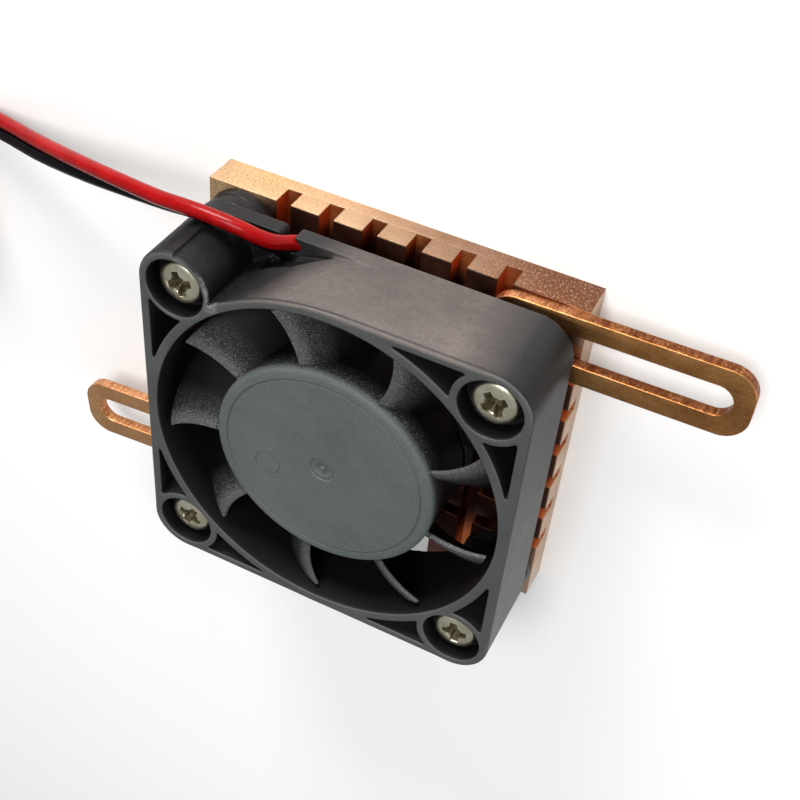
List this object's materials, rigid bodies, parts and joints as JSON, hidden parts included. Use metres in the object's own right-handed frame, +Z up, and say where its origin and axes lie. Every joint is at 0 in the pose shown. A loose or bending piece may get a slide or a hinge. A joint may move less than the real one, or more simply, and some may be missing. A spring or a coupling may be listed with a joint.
{
  "type": "chip cooler with axial fan",
  "caption": "Small copper chip cooler: cross-cut copper heatsink, square axial fan screwed on top, two slotted swinging copper mounting arms, two-wire lead.",
  "frame": {"origin": "centre of the heatsink's flat underside", "axes": "+Z up through the fan; +X along the heatsink's edge towards the tip of arm_tr; +Y towards the side of the fan where the lead leaves"},
  "size_m": [0.1154, 0.0433, 0.0166],
  "materials": {
    "copper": "milled bare copper",
    "case_plastic": "black satin plastic",
    "impeller_plastic": "dark grey satin plastic",
    "screw_nickel": "nickel plated, slightly yellow",
    "washer_black": "black satin",
    "steel": "bright steel",
    "ferrite": "dull dark ferrite",
    "bronze": "oiled sintered bronze",
    "enamelled_copper": "enamelled copper wire",
    "circuit_board": "green lacquered board",
    "black_epoxy": "moulded epoxy",
    "label_foil": "silver foil label",
    "wire_red": "glossy red insulation",
    "wire_black": "glossy black insulation",
    "white_nylon": "natural nylon",
    "tinned_contact": "tinned bronze"
  },
  "bodies": {
    "cooler": {"heatsink": "copper", "fan_case": "case_plastic", "screw_tl": "screw_nickel", "screw_br": "screw_nickel", "washer_tr": "washer_black", "washer_bl": "washer_black", "washer_tl_upper": "washer_black", "washer_tl_lower": "washer_black", "washer_br_upper": "washer_black", "washer_br_lower": "washer_black", "stator_core": "steel", "bearing_sleeve": "bronze", "winding_1": "enamelled_copper", "winding_2": "enamelled_copper", "winding_3": "enamelled_copper", "winding_4": "enamelled_copper", "driver_board": "circuit_board", "hall_sensor": "black_epoxy", "back_label": "label_foil", "wire_red": "wire_red", "wire_red_tail": "wire_red", "wire_black": "wire_black", "wire_black_tail": "wire_black", "lead_coil": "wire_black", "bobbin_top": "white_nylon", "bobbin_bottom": "white_nylon", "coil_tie": "white_nylon", "plug_housing": "white_nylon", "terminal_red": "tinned_contact", "terminal_black": "tinned_contact"},
    "rotor": {"impeller": "impeller_plastic", "rotor_yoke": "steel", "rotor_magnet": "ferrite", "rotor_shaft": "steel", "shaft_clip": "white_nylon", "thrust_washer": "white_nylon"},
    "clamp_screw_tr": {"screw_tr": "screw_nickel"},
    "mounting_arm_tr": {"arm_tr": "copper"},
    "clamp_screw_bl": {"screw_bl": "screw_nickel"},
    "mounting_arm_bl": {"arm_bl": "copper"}
  },
  "joints": [
    {"name": "rotor_spin", "type": "hinge", "parent": "cooler", "child": "rotor", "pos_m": [0, 0, 0.012], "axis": [0, 0, 1], "continuous": true},
    {"name": "arm_tr_swing", "type": "hinge", "parent": "cooler", "child": "clamp_screw_tr", "pos_m": [0.016, 0.016, 0.00465], "axis": [0, 0, 1], "range_deg": [-95, 95]},
    {"name": "arm_tr_slide", "type": "slide", "parent": "clamp_screw_tr", "child": "mounting_arm_tr", "axis": [0.9998, 0.0175, 0], "range_m": [-0.0168, 0.0018]},
    {"name": "arm_bl_swing", "type": "hinge", "parent": "cooler", "child": "clamp_screw_bl", "pos_m": [-0.016, -0.016, 0.00465], "axis": [0, 0, 1], "range_deg": [-95, 95]},
    {"name": "arm_bl_slide", "type": "slide", "parent": "clamp_screw_bl", "child": "mounting_arm_bl", "axis": [-0.9976, -0.0698, 0], "range_m": [-0.018, 0.0006]}
  ]
}
